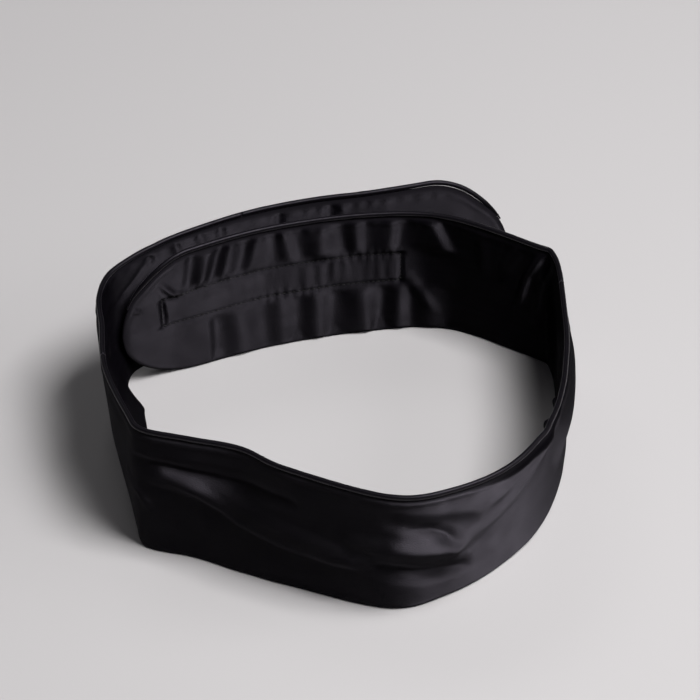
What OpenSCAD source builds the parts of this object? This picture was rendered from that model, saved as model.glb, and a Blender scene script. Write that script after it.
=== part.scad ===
// Padded satin blindfold: one wide band, closed into a loop by hook and loop tape at the back.
// Millimetres. +Z is up, the brow faces -Y and the closure faces +Y. The band stands on its lower edge.
// Places along the band are measured from the middle of the brow, towards the under strap.

/* [Loop] */
// Width of the closed loop between the middles of its side walls
loop_w = 195; // [180:1:210]
// Depth of the closed loop from the brow to the closure
loop_d = 166; // [150:1:180]

/* [Band] */
// Height of the band with its piping
band_h = 70; // [60:1:85]
// Thickness of the padded band at mid height
band_t = 3.2; // [2.6:0.1:4.5]
// Thickness of the band along its sewn edges
edge_t = 1.6; // [1.4:0.1:2]
// Thickness of one ply of fused satin
ply_t = 0.5; // [0.3:0.05:0.6]
// Length from the middle of the brow to the end of the under strap
under_len = 381; // [370:1:392]
// Length from the middle of the brow to the end of the pull tab
over_len = 377; // [368:1:384]
// Length of the over strap's end that stands free of the under strap
free_len = 70; // [60:1:80]
// How much higher the over strap sits than the under strap
strap_lift = 3.5; // [0:0.5:5]
// How far the over strap's top edge stands out from the under strap
flare = 3.5; // [1:0.5:6]
// How much further the pull tab's top edge stands out
tab_flare = 5; // [2:0.5:8]
// How far the lower edge of the left wall is drawn in
tuck = 16; // [4:1:18]

/* [Piping] */
// Diameter of the piping
piping_d = 2.2; // [1.8:0.1:3]
// Diameter of the cord inside the piping
cord_d = 1.2; // [0.8:0.1:1.4]

/* [Closure] */
// Width of the hook and loop tapes
tape_w = 20; // [16:1:25]
// Length of the loop tape on the under strap
loop_tape_len = 112; // [95:1:118]
// Length of the hook tape on the over strap
hook_tape_len = 100; // [70:1:105]
// Distance from the under strap's end to the loop tape
loop_tape_inset = 18; // [14:1:24]
// Distance from the pull tab's rounded part to the hook tape
hook_tape_inset = 5; // [3:1:12]
// How far the tapes' middle lies above the band's middle
tape_rise = 3.5; // [0:0.5:5]
// Thickness of the loop tape with its pile
loop_tape_t = 1.2; // [0.8:0.1:1.6]
// Thickness of the hook tape with its hooks
hook_tape_t = 1.4; // [1:0.1:1.8]
// Distance from a tape's edge to its stitching
stitch_inset = 2; // [1:0.1:2.5]
// Width of the stitching thread
thread_w = 0.6; // [0.4:0.05:0.8]

/* [Fits] */
// Clearance between plies that lie on each other
ply_gap = 0.05; // [0.03:0.01:0.1]
// Slit between two stretches of the band at a fold line
fold_gap = 0.3; // [0.2:0.05:0.5]
// Clearance between the hook tape and the loop tape
closure_gap = 0.5; // [0.4:0.05:0.8]
// Clearance between the under strap's end and the over strap
tip_gap = 0.7; // [0.5:0.05:1.2]

/* [Hidden] */

satin = "#1d1a20";
satin_lining = "#2a262e";
wadding = "#b9b6b0";
cord_white = "#d8d4cc";
tape_black = "#141416";
thread_black = "#0c0c0e";

// Plan of the loop from the middle of the brow, round by the right: [x, y, lean of the top edge outwards]
outline = [
    [0, -90, 3], [25, -91, 7], [51, -82, 9], [74, -62, 5], [90, -32, 0], [99, 2, 0],
    [103, 27, -1], [97, 37, -3], [66, 64, -3], [32, 73, 0], [-10, 75, 1], [-44, 71, 0],
    [-62, 67, -3], [-78, 61, -3], [-85, 48, 0], [-86.5, 32, 3], [-91, 8, 4], [-90, -19, 1],
    [-87, -30, -1], [-70, -40, -1], [-52, -52, -4], [-36, -66, 0]
];
// Fold lines, as places in that list
right_fold_at = 6.5;
back_fold_at = 12;
left_fold_at = 17.5;
// Main creases of the mask: [from place, from height, to place, to height, half width, depth outwards]
creases = [
    [-106, 50, -44, 52, 8, -1.4], [-99, 46, -10, 27, 8, 1.6], [74, 64, 27, 32, 8, 1.4],
    [3, 54, 30, 48, 8, -1], [-8, 25, 30, 19, 8, -1], [-12, 38, 25, 35, 9, 1], [108, 48, 132, 48, 26, 3]
];

// Number of curve steps between two points of the outline
curve_steps = 24;
// Spacing of the cross sections along the band
station_step = 9;
// Spacing of the cross sections along the creased mask
mask_step = 8;
// Angles of the cross sections round a strap's end
end_angles = [0, 18, 34, 48, 60, 71, 80];
// Angles between which the piping runs off into the seam
run_off = [40, 66];
// Share of the piping's size where it ends
run_off_share = 0.35;
// Heights of a panel's own points, as shares of its height
mask_levels = [0, 0.06, 0.16, 0.27, 0.38, 0.5, 0.62, 0.73, 0.84, 0.94, 1];
plain_levels = [0, 0.06, 0.16, 0.3, 0.5, 0.7, 0.94, 1];
// Sides of the piping's and the cord's cross section
bead_sides = 6;
// Share of the way round an end where the padding stops
seam_share = 0.9;
// Power that shapes the padded crown across the band
crown_power = 4;
// Height below which the left wall is drawn in, and the power that shapes it
tuck_h = 30;
tuck_power = 1.6;
// Length over which that grows from the left fold
tuck_grow = 85;
// Length over which it fades round the under strap's end, and the part of it past that end
tuck_fade = 24;
tuck_past = 10;
// Distance over which the band's direction is measured
probe = 1.5;

end_r = band_h / 2;
tape_low = band_h / 2 + tape_rise - tape_w / 2;
tape_high = tape_low + tape_w;
panel_h = band_h - piping_d - ply_gap;
lap = band_t + loop_tape_t + hook_tape_t + closure_gap + 2 * ply_gap;
tip_lap = band_t + tip_gap;

// Curve through the outline
span_x = max([for (p = outline) p[0]]) - min([for (p = outline) p[0]]);
span_y = max([for (p = outline) p[1]]) - min([for (p = outline) p[1]]);
corners = [for (p = outline) [p[0] * loop_w / span_x, p[1] * loop_d / span_y, p[2]]];
corner_count = len(corners);

function spline(a, b, c, d, t) =
    0.5 * (2 * b + (c - a) * t + (2 * a - 5 * b + 4 * c - d) * t * t + (3 * b - a - 3 * c + d) * t * t * t);
function corner(i) = corners[(i + corner_count) % corner_count];
function curve(i, t) = spline(corner(i - 1), corner(i), corner(i + 1), corner(i + 2), t);

loop_points = [for (i = [0:corner_count - 1], k = [0:curve_steps - 1]) curve(i, k / curve_steps), corners[0]];
point_count = len(loop_points);
function step_len(i) = norm([for (k = [0, 1]) loop_points[i + 1][k] - loop_points[i][k]]);
loop_run = [for (i = 0, s = 0; i < point_count; s = i < point_count - 1 ? s + step_len(i) : s, i = i + 1) s];
loop_len = loop_run[point_count - 1];
table_x = [for (i = [0:point_count - 1]) [loop_run[i], loop_points[i][0]]];
table_y = [for (i = [0:point_count - 1]) [loop_run[i], loop_points[i][1]]];
table_lean = [for (i = [0:point_count - 1]) [loop_run[i], loop_points[i][2]]];
function run_to(at) = loop_run[round(at * curve_steps)];

// Places of the fold lines and the tapes along the band
right_fold = run_to(right_fold_at);
back_fold = run_to(back_fold_at) - loop_len;
left_fold = run_to(left_fold_at) - loop_len;
tab_fold = -over_len + end_r + hook_tape_inset;
free_from = -over_len + free_len;
under_end = under_len - loop_len;

function smooth(t) = let(k = min(1, max(0, t))) k * k * (3 - 2 * k);
function on_loop(s) = s - loop_len * floor(s / loop_len);
function spot(s) = let(k = on_loop(s)) [lookup(k, table_x), lookup(k, table_y)];
function direction(s) = let(d = spot(s + probe) - spot(s - probe)) d / norm(d);
// The free end of the over strap goes on straight
function path(s) = s > free_from ? spot(s) : spot(free_from) + direction(free_from) * (s - free_from);
function along(s) = s > free_from ? direction(s) : direction(free_from);
function outwards(s) = let(d = along(s)) [d[1], -d[0]];

// Distance of the band's middle outwards from the loop's line
function lap_at(s) =
    tip_lap * smooth((left_fold - s) / (left_fold - under_end))
    + (lap - tip_lap) * smooth((under_end - s) / loop_tape_inset);
function flare_at(s, u) =
    let(
        top = flare * smooth((under_end - s) / (under_end - free_from)),
        tip = tab_flare * smooth((free_from - s) / free_len)
    )
    (top + tip) * pow(max(0, (u - tape_high) / (band_h - tape_high)), 2);
function tuck_at(s, u) =
    let(grown = smooth((left_fold - s) / tuck_grow), left = smooth((s - under_end + tuck_past) / tuck_fade))
    -tuck * grown * left * pow(max(0, 1 - u / tuck_h), tuck_power);
function lean_at(s, u) = lookup(on_loop(max(s, free_from)), table_lean) * (u / band_h - 0.5);
function crease_at(c, s, u) =
    let(
        a = [c[0], c[1]],
        run = [c[2], c[3]] - a,
        off = [s, u] - a,
        t = min(1, max(0, off * run / (run * run)))
    )
    c[5] * (1 - smooth(norm(off - run * t) / c[4]));
function creased(s, u) = [for (c = creases) crease_at(c, s, u)] * [for (c = creases) 1];
function middle(s, u) =
    lean_at(s, u) + creased(s, u) + (s < left_fold ? lap_at(s) + flare_at(s, u) + tuck_at(s, u) : 0);
function lift_at(s) = strap_lift * smooth((left_fold - s) / (left_fold - under_end));

function raw_place(s, u, w) =
    let(p = path(s), n = outwards(s))
    concat(p + n * (middle(s, u) + w), [u + lift_at(s)]);

// Cross sections: [place along the band, lower edge, upper edge, how far round the end]
function bead_share(a) = 1 - (1 - run_off_share) * smooth((a - run_off[0]) / (run_off[1] - run_off[0]));
function bead_at(a) =
    let(tail = run_off_share * smooth((90 - a) / (90 - run_off[1])))
    piping_d * (a > run_off[1] ? tail : bead_share(a));
function run_stations(a, b, step = station_step) =
    let(n = ceil((b - a) / step))
    [for (k = [0:n]) [a + (b - a) * k / n, 0, panel_h, 0]];
function end_station(tip, way, a) =
    let(r = end_r - bead_at(a) - ply_gap, x = r * sin(a))
    [tip + way * (x - end_r), end_r - sqrt(end_r * end_r - x * x), end_r + r * cos(a), x / end_r];
function rest(a) = [for (i = [1:len(a) - 1]) a[i]];
function joined(a, b) = concat(a, rest(b));
function reversed(a) = [for (i = [len(a) - 1:-1:0]) a[i]];

half_gap = fold_gap / 2;
under_bend = under_len - end_r;
tab_bend = -over_len + end_r;
loop_tape_from = under_len - loop_tape_inset - loop_tape_len;
hook_tape_to = tab_fold + half_gap + hook_tape_len;
// Angles round the under strap's end where the loop tape and its stitching stop
round_r = end_r - piping_d - ply_gap;
tape_angle = asin((end_r - loop_tape_inset) / round_r);
stitch_angle = asin((end_r - loop_tape_inset - stitch_inset) / round_r);
under_angles = concat([0, stitch_angle, tape_angle], [for (a = end_angles) if (a > max(end_angles) / 2) a]);

mask_stations = run_stations(left_fold + half_gap, right_fold - half_gap, mask_step);
side_stations = run_stations(back_fold + half_gap, left_fold - half_gap);
hook_stitched = run_stations(tab_fold + half_gap + stitch_inset, hook_tape_to - stitch_inset);
hook_stations = joined(
    joined(run_stations(tab_fold + half_gap, tab_fold + half_gap + stitch_inset), hook_stitched),
    run_stations(hook_tape_to - stitch_inset, hook_tape_to)
);
strap_stations = joined(hook_stations, run_stations(hook_tape_to, back_fold - half_gap));
under_round = [for (a = under_angles) end_station(under_len, 1, a)];
loop_stitched = joined(
    run_stations(loop_tape_from + stitch_inset, under_bend),
    [under_round[0], under_round[1]]
);
loop_stations = concat(
    run_stations(loop_tape_from, loop_tape_from + stitch_inset),
    rest(loop_stitched),
    [under_round[2]]
);
under_straight = joined(
    joined(
        run_stations(right_fold + half_gap, loop_tape_from),
        run_stations(loop_tape_from, loop_tape_from + stitch_inset)
    ),
    run_stations(loop_tape_from + stitch_inset, under_bend)
);
under_stations = joined(under_straight, under_round);
tab_round = [for (a = end_angles) end_station(-over_len, -1, a)];
tab_straight = run_stations(tab_bend, tab_fold - half_gap);
tab_stations = joined(reversed(tab_round), tab_straight);

// Half the thickness of the padded band at a share of its height
function crown(c, q) = (1 - pow(abs(2 * q - 1), crown_power)) * (1 - pow(c[3], crown_power));
function half_thick(c, q) = (edge_t + (band_t - edge_t) * crown(c, q)) / 2;
function level(c, q) = c[1] + (c[2] - c[1]) * q;

// The model stands with the middle of its box at the origin
every_station = concat(mask_stations, side_stations, strap_stations, tab_stations, under_stations);
box_points = [
    for (c = every_station, q = plain_levels, side = [-1, 1])
        let(u = q == 1 ? c[2] + piping_d / 2 : level(c, q), half = q == 1 ? piping_d / 2 : half_thick(c, q))
        raw_place(c[0], u, side * half)
];
function box_middle(k) = (max([for (p = box_points) p[k]]) + min([for (p = box_points) p[k]])) / 2;
box_centre = [box_middle(0), box_middle(1), 0];
function place(s, u, w) = raw_place(s, u, w) - box_centre;

// Rings of points round each ply, from the outside in
function inner(levels) = [for (i = [1:len(levels) - 2]) levels[i]];
// Past seam_share of the way round an end the two panels are sewn together
function panel_inside(c, q) = c[3] > seam_share ? ply_gap / 2 : half_thick(c, q) - ply_t;
function panel_ring(c, levels, side) = concat(
    [for (q = levels) place(c[0], level(c, q), side * half_thick(c, q))],
    [place(c[0], level(c, 1), side * ply_gap / 2)],
    [for (q = reversed(inner(levels))) place(c[0], level(c, q), side * panel_inside(c, q))],
    [place(c[0], level(c, 0), side * ply_gap / 2)]
);
function padded(stations) = [for (c = stations) if (c[3] <= seam_share) c];
function padding_half(c, q) = half_thick(c, q) - ply_t - ply_gap;
function padding_ring(c, levels) = concat(
    [for (q = inner(levels)) place(c[0], level(c, q), padding_half(c, q))],
    [for (q = reversed(inner(levels))) place(c[0], level(c, q), -padding_half(c, q))]
);
function plate_half(c, u) = half_thick(c, (u - c[1]) / (c[2] - c[1]));
function plate_ring(c, side, low, high, thick) = [
    place(c[0], low, side * (plate_half(c, low) + ply_gap)),
    place(c[0], low, side * (plate_half(c, low) + ply_gap + thick)),
    place(c[0], high, side * (plate_half(c, high) + ply_gap + thick)),
    place(c[0], high, side * (plate_half(c, high) + ply_gap))
];

// Rings round the piping's middle line: [place along the band, height, angle round the end, size share]
function bead_line(stations) = [for (c = stations) [c[0], band_h - piping_d / 2, 0, 1]];
function bead_round(tip, way) = [
    for (a = end_angles)
        if (a <= run_off[1])
            let(r = end_r - bead_at(a) / 2)
            [tip + way * (r * sin(a) - end_r), end_r + r * cos(a), way * a, bead_share(a)]
];
function bead_ring(b, r) = [
    for (k = [0:bead_sides - 1])
        let(t = 360 * k / bead_sides, up = r * b[3] * sin(t))
        place(b[0] + up * sin(b[2]), b[1] + up * cos(b[2]), r * b[3] * cos(t))
];

// Solid swept through rings of points, each going up on one side and down on the other
module sweep(rings) {
    n = len(rings[0]);
    last = len(rings) - 1;
    sides = [
        for (i = [0:last - 1], j = [0:n - 1])
            let(a = i * n + j, b = i * n + (j + 1) % n)
            each j < n / 2 ? [[a, a + n, b], [b, a + n, b + n]] : [[a, a + n, b + n], [a, b + n, b]]
    ];
    ends = [[for (j = [0:n - 1]) j], [for (j = [n - 1:-1:0]) last * n + j]];
    polyhedron([for (r = rings) each r], concat(sides, ends));
}

// Hollow tube between two sets of rings
module tube(outer_rings, inner_rings) {
    n = len(outer_rings[0]);
    count = len(outer_rings);
    within = count * n;
    end = (count - 1) * n;
    sides = [
        for (i = [0:count - 2], j = [0:n - 1])
            let(a = i * n + j, b = i * n + (j + 1) % n)
            each [
                [a, a + n, b], [b, a + n, b + n],
                [within + a, within + b, within + a + n], [within + b, within + b + n, within + a + n]
            ]
    ];
    ends = [
        for (j = [0:n - 1])
            let(k = (j + 1) % n)
            each [
                [j, k, within + j], [k, within + k, within + j],
                [end + j, within + end + j, end + k], [end + k, within + end + j, within + end + k]
            ]
    ];
    polyhedron([for (r = concat(outer_rings, inner_rings)) each r], concat(sides, ends));
}

module face(stations, levels) {
    color(satin) sweep([for (c = stations) panel_ring(c, levels, 1)]);
}

module lining(stations, levels) {
    color(satin_lining) sweep([for (c = stations) reversed(panel_ring(c, levels, -1))]);
}

module padding(stations, levels) {
    color(wadding) sweep([for (c = padded(stations)) padding_ring(c, levels)]);
}

module piping(line) {
    bore = cord_d / 2 + ply_gap;
    color(satin) tube([for (b = line) bead_ring(b, piping_d / 2)], [for (b = line) bead_ring(b, bore)]);
}

module piping_cord(line) {
    color(cord_white) sweep([for (b = line) bead_ring(b, cord_d / 2)]);
}

module plate(stations, side, low, high, thick) {
    rings = [for (c = stations) plate_ring(c, side, low, high, thick)];
    sweep(side > 0 ? rings : [for (r = rings) reversed(r)]);
}

module tape(stations, side, thick) {
    color(tape_black) plate(stations, side, tape_low, tape_high, thick);
}

// Box of stitches that holds a tape, on the far side of the band
module stitched_box(stations, side) {
    low = tape_low + stitch_inset;
    high = tape_high - stitch_inset;
    thread_half = thread_w / 2;
    first = stations[0];
    last = stations[len(stations) - 1];
    color(thread_black) {
        for (row = [low, high]) plate(stations, side, row - thread_half, row + thread_half, thread_half);
        for (c = [first, last - [thread_w, 0, 0, 0]])
            plate([c, c + [thread_w, 0, 0, 0]], side, low + thread_w, high - thread_w, thread_half);
    }
}

mask_line = bead_line(mask_stations);
side_line = bead_line(side_stations);
strap_line = bead_line(strap_stations);
tab_line = joined(reversed(bead_round(-over_len, -1)), bead_line(tab_straight));
under_line = joined(bead_line(under_straight), bead_round(under_len, 1));

module mask_face() { face(mask_stations, mask_levels); }
module mask_lining() { lining(mask_stations, mask_levels); }
module mask_padding() { padding(mask_stations, mask_levels); }
module mask_piping() { piping(mask_line); }
module mask_piping_cord() { piping_cord(mask_line); }

module side_face() { face(side_stations, plain_levels); }
module side_lining() { lining(side_stations, plain_levels); }
module side_padding() { padding(side_stations, plain_levels); }
module side_piping() { piping(side_line); }
module side_piping_cord() { piping_cord(side_line); }

module strap_face() { face(strap_stations, plain_levels); }
module strap_lining() { lining(strap_stations, plain_levels); }
module strap_padding() { padding(strap_stations, plain_levels); }
module strap_piping() { piping(strap_line); }
module strap_piping_cord() { piping_cord(strap_line); }
module hook_tape() { tape(hook_stations, -1, hook_tape_t); }
module hook_tape_stitching() { stitched_box(hook_stitched, 1); }

module tab_face() { face(tab_stations, plain_levels); }
module tab_lining() { lining(tab_stations, plain_levels); }
module tab_padding() { padding(tab_stations, plain_levels); }
module tab_piping() { piping(tab_line); }
module tab_piping_cord() { piping_cord(tab_line); }

module under_face() { face(under_stations, plain_levels); }
module under_lining() { lining(under_stations, plain_levels); }
module under_padding() { padding(under_stations, plain_levels); }
module under_piping() { piping(under_line); }
module under_piping_cord() { piping_cord(under_line); }
module loop_tape() { tape(loop_stations, 1, loop_tape_t); }
module loop_tape_stitching() { stitched_box(loop_stitched, -1); }

mask_face();
mask_lining();
mask_padding();
mask_piping();
mask_piping_cord();
side_face();
side_lining();
side_padding();
side_piping();
side_piping_cord();
strap_face();
strap_lining();
strap_padding();
strap_piping();
strap_piping_cord();
hook_tape();
hook_tape_stitching();
tab_face();
tab_lining();
tab_padding();
tab_piping();
tab_piping_cord();
under_face();
under_lining();
under_padding();
under_piping();
under_piping_cord();
loop_tape();
loop_tape_stitching();
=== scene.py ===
"""Padded satin blindfold: a band with a piped top edge and a hook-and-loop closure, built round its solids."""
import math

import bpy
import numpy as np
from bpy.props import FloatProperty, FloatVectorProperty, IntProperty, PointerProperty
from mathutils import Matrix, Vector


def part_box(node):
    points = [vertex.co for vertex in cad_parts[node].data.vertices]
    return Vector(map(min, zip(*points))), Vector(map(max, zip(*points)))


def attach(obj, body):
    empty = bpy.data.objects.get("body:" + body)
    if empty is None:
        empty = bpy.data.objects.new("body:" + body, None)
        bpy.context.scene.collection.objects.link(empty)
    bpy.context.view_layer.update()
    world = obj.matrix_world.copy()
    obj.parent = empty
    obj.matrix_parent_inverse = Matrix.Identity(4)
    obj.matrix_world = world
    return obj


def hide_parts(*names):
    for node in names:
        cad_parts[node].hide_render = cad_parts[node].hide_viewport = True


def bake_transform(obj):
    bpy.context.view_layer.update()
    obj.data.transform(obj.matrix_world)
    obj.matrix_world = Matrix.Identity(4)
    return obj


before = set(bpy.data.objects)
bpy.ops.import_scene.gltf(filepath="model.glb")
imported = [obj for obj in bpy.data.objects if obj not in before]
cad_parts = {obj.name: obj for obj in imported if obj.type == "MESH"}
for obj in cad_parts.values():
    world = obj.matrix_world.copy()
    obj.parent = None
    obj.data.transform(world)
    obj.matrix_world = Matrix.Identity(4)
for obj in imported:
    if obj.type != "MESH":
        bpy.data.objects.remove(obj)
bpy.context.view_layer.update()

bl_info = {
    "name": "Satin Blindfold",
    "version": (1, 0, 0),
    "blender": (4, 5, 0),
    "location": "View3D > Sidebar > Blindfold",
    "description": "Builds a padded satin blindfold with piping and a hook-and-loop closure",
    "category": "Object",
}

MM = 0.001

# The band's plan in millimetres, from the middle of the brow round by the right: x, y, lean of the top edge
OUTLINE = np.array((
    (0, -90, 3), (25, -91, 7), (51, -82, 9), (74, -62, 5), (90, -32, 0), (99, 2, 0),
    (103, 27, -1), (97, 37, -3), (66, 64, -3), (32, 73, 0), (-10, 75, 1), (-44, 71, 0),
    (-62, 67, -3), (-78, 61, -3), (-85, 48, 0), (-86.5, 32, 3), (-91, 8, 4), (-90, -19, 1),
    (-87, -30, -1), (-70, -40, -1), (-52, -52, -4), (-36, -66, 0)), float)
LOOP_WIDTH, LOOP_DEPTH = 195.0, 166.0
BOX_CENTRE = np.array((4.76682, -5.21498, 0.0))
CURVE_STEPS = 200
# Length over which the band's direction is taken
PROBE = 1.5
RIGHT_FOLD_AT, BACK_FOLD_AT, LEFT_FOLD_AT = 6.5, 12, 17.5
BAND_H = round(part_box("mask_piping")[1].z / MM, 2)
END_R = BAND_H / 2
UNDER_LEN, OVER_LEN, FREE_LEN = 381.0, 377.0, 70.0
LAP, TIP_LAP, STRAP_LIFT, FLARE, TAB_FLARE = 6.4, 3.9, 3.5, 3.5, 5.0
TAPE_LOW, TAPE_HIGH = (round(c.z / MM, 2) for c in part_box("loop_tape"))
TAPE_INSET = 18.0
# The left wall's lower edge is drawn in: how far, below which height, its power, and where it grows and fades
TUCK, TUCK_H, TUCK_POWER = 16.0, 30.0, 1.6
TUCK_GROW, TUCK_FADE, TUCK_PAST = 85.0, 24.0, 10.0
# Piping: sizes, the angles between which it runs off round a strap's end, and its share of its size there
PIPING_D, CORD_D, COVER_PLY, PLY_GAP = 2.2, 1.2, 0.35, 0.05
RUN_OFF, RUN_OFF_SHARE = (40.0, 66.0), 0.35
COVER_STEP, CORD_STEP, TUBE_SIDES = 0.8, 2.0, 14
# The cover swells and thins a little: by what share, and the lengths and wander of the waves
SWELL, SWELL_LENGTH, SWELL_WANDER, SWELL_SLOW = 0.018, 2.3, 1.5, 7.1
PANEL_H = BAND_H - PIPING_D - PLY_GAP
# Columns of the mesh round a strap's end: the last angle, and the turn that sets their number
LAST_ANGLE, TIP_TURN = 88.0, 1.6
# Heights of the first rows of the mesh from an edge
EDGE_ROWS = np.array((0, 0.1, 0.3, 0.6, 1.0, 1.5, 2.1, 2.8, 3.6))
# Main creases of the mask: from place, from height, to place, to height, half width, depth outwards
CREASES = (
    (-106, 50, -44, 52, 8, -1.4), (-99, 46, -10, 27, 8, 1.6), (74, 64, 27, 32, 8, 1.4),
    (3, 54, 30, 48, 8, -1), (-8, 25, 30, 19, 8, -1), (-12, 38, 25, 35, 9, 1), (108, 48, 132, 48, 26, 3))
# Places where one stretch of cloth ends and the next begins, and how far from a fold the cloth bends
SPLIT_RIGHT, SPLIT_SIDE, SPLIT_STRAP = 162.0, -152.0, -262.0
FOLD_REACH, TAB_REACH, HALF_GAP = 14.0, 18.0, 0.15

# Ends of the two tapes, and the rows of stitches inside their edges
LOOP_TAPE, HOOK_TAPE, STITCH_INSET = (251.0, 363.0), (-336.85, -236.85), 2
STITCH_ROWS, LOOP_ROWS, HOOK_ROWS = (
    (low + STITCH_INSET, high - STITCH_INSET) for low, high in ((TAPE_LOW, TAPE_HIGH), LOOP_TAPE, HOOK_TAPE))

# Folds of the cloth: line of places and heights, half width or one for each side, height
UNDER_LINING_FOLDS = (
    (((214.5, 64.5), (214.5, 42.5)), 4.5, 0.9), (((196.5, 66), (205.5, 45.5)), 4.5, 1.3),
    (((186, 67), (193, 51.5), (198, 30)), 3.2, 2.0), (((179, 61.5), (187.5, 45), (189.5, 24)), 3.6, 1.5),
    (((250, 33), (238.5, 13.5)), 4.6, 0.8),
    (((361.5, 45), (360.5, 39.5), (360, 33)), 2.1, -1.1), (((361.5, 56), (356, 48.5), (349.5, 46.5)), 2.4, 0.9),
    (((375.5, 47), (371.5, 45)), 2.2, 0.7))
# Crests and troughs across the under strap's lining, over and under the tape's stitching:
# place at the first height, place at the second, height of the cloth
WAVES_OVER = (48.0, 68.0, (
    (214, 222, 0), (224.5, 235.5, -0.6), (232.5, 241, 1.86), (254, 251, -0.22), (258.5, 256.5, 1.08), (268, 268, 0),
    (272, 272.5, 0.78), (277.5, 279.5, -0.6), (288.5, 288, 1.47), (296.5, 300, -0.22), (301, 305, 0.62),
    (308.5, 309, -0.45), (320, 315.5, 0.93), (325.5, 320, -0.38), (332.5, 327.5, 1.08), (338.5, 332, -0.52),
    (343, 338, 1.24), (349, 345.5, -0.75), (353, 349.5, 0)))
WAVES_UNDER = (23.0, 4.0, (
    (218, 218, 0), (228.5, 228.5, -0.75), (241, 241, 0.78), (248.5, 248.5, -0.15), (253.5, 254, 0.78),
    (261, 262.5, -0.9), (270, 268.5, 1.16), (282.5, 283, -0.9), (290.5, 290, 0.78), (299, 299.5, -0.75),
    (306.5, 306, 0.46), (315, 314, -0.52), (325, 325, 0.85), (336.5, 336.5, -1.05), (340.5, 340.5, 0)))
STRAP_LINING_FOLDS = (
    (((-218, 66), (-219, 60)), 3.2, -1.2), (((-231, 66.5), (-232, 60)), 3.0, -1.0),
    (((-242.5, 67), (-243.5, 61)), 3.0, -1.2), (((-252, 67), (-252, 61)), 3.2, -1.0),
    (((-277.5, 66.5), (-277, 60)), 3.4, -1.2), (((-300, 66), (-299, 60)), 3.4, -1.2),
    (((-304, 67), (-305, 62)), 3.0, 0.8), (((-201.5, 50), (-210, 55.5), (-218, 62.5)), 4.0, -1.2))
SIDE_LINING_FOLDS = (
    (((-126, 61), (-138, 44), (-152, 27)), 5.5, 1.3), (((-146, 64), (-160, 46), (-172, 26)), 6.0, 1.5),
    (((-170, 62), (-178, 42), (-186, 24)), 5.0, 1.2), (((-136, 62), (-148, 45), (-160, 30)), 4.5, -1.0),
    (((-160, 63), (-170, 46), (-178, 32)), 4.5, -1.0), (((-182, 63), (-190, 46)), 4.5, -0.9))
BROW_FACE_FOLDS = (
    (((-111, 53), (-96, 51.5), (-69.5, 50), (-40, 52)), 4.0, -0.9),
    (((-97, 47.5), (-82, 41), (-65, 31), (-46, 26.5), (-23, 24.5), (-10, 25.5)), (6.5, 4.5), 1.2),
    (((-118, 36), (-108.5, 34), (-104.5, 26.5)), 3.4, 1.2),
    (((26, 36), (33, 44), (41, 55), (55, 62), (70, 65), (86, 66)), (15.0, 8.0), 1.7),
    (((8, 49.5), (17, 47.5), (22.5, 44), (26, 39)), 5.0, -1.3),
    (((-11.5, 26), (4.5, 26), (21.5, 20), (32, 17)), 5.0, -1.3),
    (((-3, 38), (4.5, 39), (16, 36.5), (24, 33)), 8.0, 1.2))

# Ends of a fold: their share of its height, and the share of its length over which it grows
FOLD_END, FOLD_TAPER, VALLEY_POWER = 0.45, 0.25, 1.5
# Padded form: the length of its rise from the edges, the least wadding, and the ease round the wadding
PAD_RISE, LEAST_PADDING, PADDING_EASE = 14.0, 0.15, 0.45
# Humps across the cloth, each with its height, its distance from an edge or a row of stitches, and its half width:
# the seam under the piping, puckers at the edges of the face (1) and the lining (-1), puffs, and the stitches' pull
SEAM_RIDGE, SEAM_GROOVE = (0.28, 2.6, 1.2), (-0.35, 0, 1.1)
EDGE_PUCKER = {1: (0.05, 2.2, 2.4), -1: (0.12, 2.2, 2.4)}
SCALLOP, DIP, PUCKER = (2.2, 4.2, 3.6), (-0.6, 0, 0.9), (0.12, 1.2, 2.4)
# Uneven waves along the cloth: period, wander, and the length over which it wanders
EDGE_WAVE, GATHER_WAVE = (6.3, 2, 9.7), (5.9, 2.6, 10.7)
PUCKER_WAVE, SCALLOP_WAVE = (3.6, 1.7, 7.3), (13.0, 0.5, 8.3)
# Slow waves of the whole cloth: height, lengths, greatest turn, their sum, seeds of the face and the lining
RIPPLE, RIPPLE_LENGTHS, RIPPLE_TURN, RIPPLE_SUM = 0.3, (61, 43, 31, 23, 17, 13), 0.7, 2.2
RIPPLE_SEEDS = {1: 3, -1: 8}
# Small folds between the stitch rows: height, room at the rows, how they grow and fade along the tape, and vary
GATHER, GATHER_CLEAR, GATHER_EASE, GATHER_GROW, GATHER_FADE, GATHER_SHORT = 0.15, 0.5, 3, 8, 20, 30
GATHER_SLOW, GATHER_VARY = (6.1, 9), 0.45
# Puffs of the brow's lining: their ends, power, and ease at the ends
BROW_SCALLOPS, SCALLOP_POWER, SCALLOP_EASE = (52.0, 118.0), 1.3, 6
# Pull of the stitches: its ease at the ends and at the corners, and how the puckers vary
DIP_EASE, CORNER_EASE, PUCKER_SLOW, PUCKER_VARY = 3, 2, 11.0, 0.4
# Ease of the waves towards the stitches, and of all wrinkles towards the sewn edges
WAVE_EASE, SEWN_EASE = 6, 3.0
# Wadding: spacing of its columns, rows, least height, inset, how deep it follows valleys, least half thickness
WAD_STEP, WAD_ROWS, WAD_LEAST_H, WAD_INSET, WAD_FOLLOW, WAD_LEAST = 1.6, 42, 12, 1.6, 1.8, 0.05
# Tapes: gap to the cloth, spacing of the columns, rows, sharp angle, and the bare margins round the nap
TAPE_GAP, TAPE_STEP, TAPE_ROWS, TAPE_SHARP = 0.05, 1.4, 15, math.radians(50)
NAP_START, NAP_END = 1.5, 1
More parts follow.
